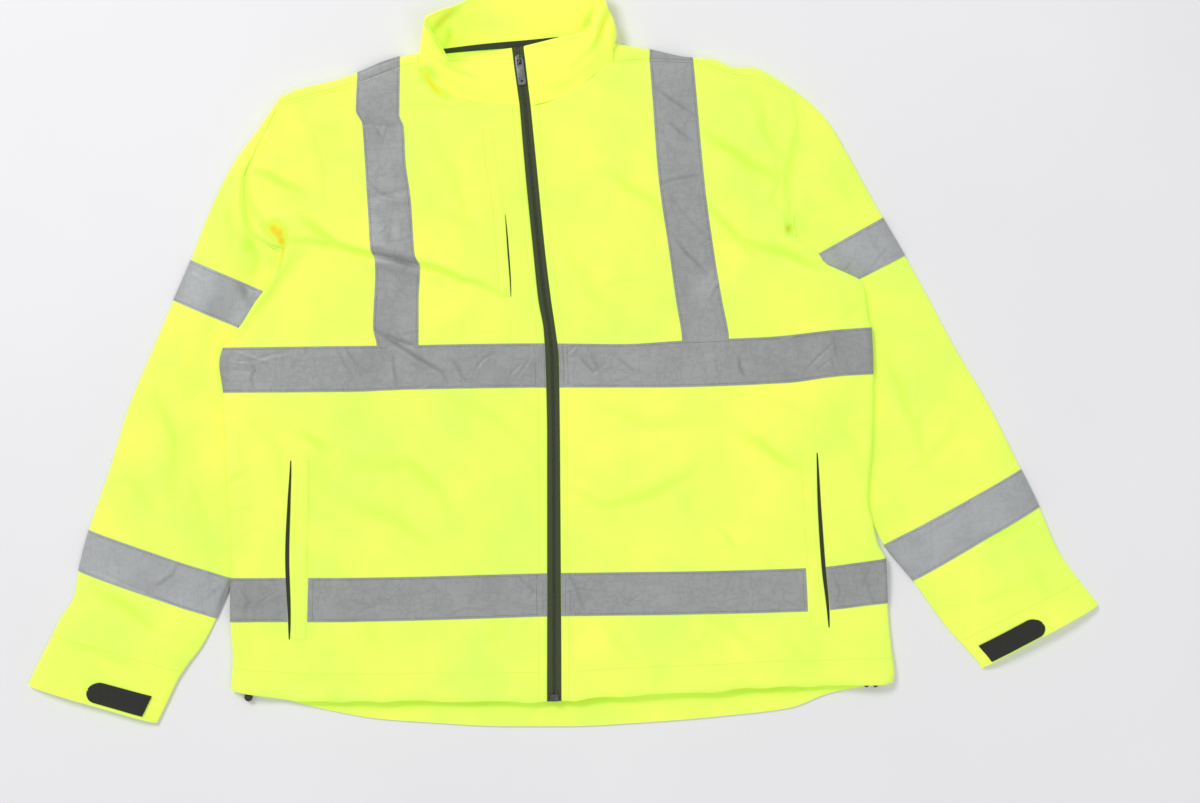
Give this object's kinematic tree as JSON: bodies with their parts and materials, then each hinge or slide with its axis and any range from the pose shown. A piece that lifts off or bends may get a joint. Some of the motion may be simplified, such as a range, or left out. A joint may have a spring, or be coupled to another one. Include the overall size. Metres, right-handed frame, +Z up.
{
  "type": "high-visibility work jacket",
  "caption": "Hi-vis yellow work jacket lying flat on its back, zipped, with reflective bands and braces, stand collar, hand and chest pockets and long sleeves.",
  "frame": {"origin": "middle of the footprint, on the surface the jacket lies on", "axes": "+X to the viewer's right across the sleeves, +Y towards the collar, +Z up from the surface"},
  "size_m": [1.218, 0.84, 0.0389],
  "materials": {
    "cloth": "matte fluorescent yellow softshell",
    "reflective_tape": "silver-grey retroreflective tape",
    "zip_cloth": "dark olive woven tape",
    "tab_cloth": "near-black hook tape",
    "lock_plastic": "black moulded",
    "zip_metal": "dull zinc"
  },
  "bodies": {
    "jacket": {"front_left": "cloth", "front_right": "cloth", "back": "cloth", "yoke_left": "cloth", "yoke_right": "cloth", "sleeve_left": "cloth", "sleeve_right": "cloth", "collar": "cloth", "neck_tape": "zip_cloth", "zip_tape_left": "zip_cloth", "zip_tape_right": "zip_cloth", "zip_slider": "zip_metal", "zip_box": "zip_metal", "pocket_welt_left": "cloth", "pocket_welt_right": "cloth", "pocket_zip_left": "zip_cloth", "pocket_zip_right": "zip_cloth", "chest_pocket_welt": "cloth", "chest_pocket_zip": "zip_cloth", "chest_band_left": "reflective_tape", "chest_band_right": "reflective_tape", "chest_band_back": "reflective_tape", "hem_band_side_left": "reflective_tape", "hem_band_left": "reflective_tape", "hem_band_right": "reflective_tape", "hem_band_side_right": "reflective_tape", "hem_band_back": "reflective_tape", "brace_left": "reflective_tape", "brace_right": "reflective_tape", "brace_back_left": "reflective_tape", "brace_back_right": "reflective_tape", "sleeve_band_upper_left": "reflective_tape", "sleeve_band_lower_left": "reflective_tape", "sleeve_band_upper_right": "reflective_tape", "sleeve_band_lower_right": "reflective_tape", "cuff_tab_left": "tab_cloth", "cuff_tab_right": "tab_cloth", "cord_lock_left": "lock_plastic", "cord_lock_right": "lock_plastic"},
    "pull_tab": {"zip_pull_tab": "zip_metal"}
  },
  "joints": [
    {"name": "pull_tab_swing", "type": "hinge", "parent": "jacket", "child": "pull_tab", "pos_m": [-0.04909, 0.33661, 0.02049], "axis": [-0.9919, -0.127, 0], "range_deg": [0, 150]}
  ]
}
